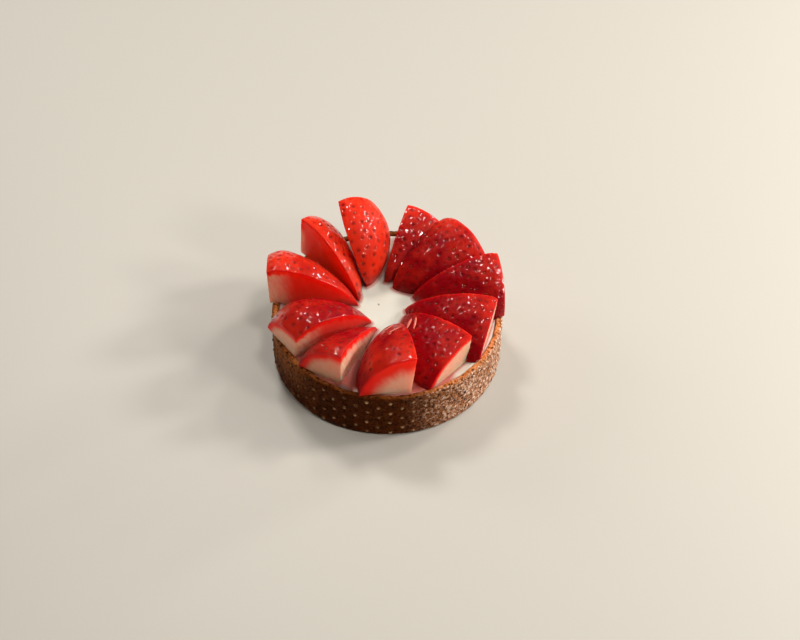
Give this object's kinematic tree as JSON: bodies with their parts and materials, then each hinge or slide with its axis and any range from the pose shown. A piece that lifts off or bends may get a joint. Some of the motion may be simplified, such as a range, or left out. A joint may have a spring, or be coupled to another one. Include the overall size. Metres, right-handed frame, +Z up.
{
  "type": "strawberry tart",
  "caption": "Small round shortcrust tart filled with vanilla cream and topped with a ring of leaning strawberry wedges around an open middle.",
  "frame": {"origin": "middle of the case's flat underside", "axes": "+Z up from the table through the middle of the case; the wedges are numbered anticlockwise seen from above, from the one at +X"},
  "size_m": [0.0826, 0.0806, 0.0406],
  "materials": {
    "pastry": "baked shortcrust, egg-washed",
    "cream": "smooth set cream, satin",
    "strawberry": "cut fruit, glazed"
  },
  "bodies": {
    "root": {"pastry_case": "pastry", "cream_filling": "cream", "strawberry_01": "strawberry", "strawberry_02": "strawberry", "strawberry_03": "strawberry", "strawberry_04": "strawberry", "strawberry_05": "strawberry", "strawberry_06": "strawberry", "strawberry_07": "strawberry", "strawberry_08": "strawberry", "strawberry_09": "strawberry", "strawberry_10": "strawberry", "strawberry_11": "strawberry"}
  },
  "joints": []
}
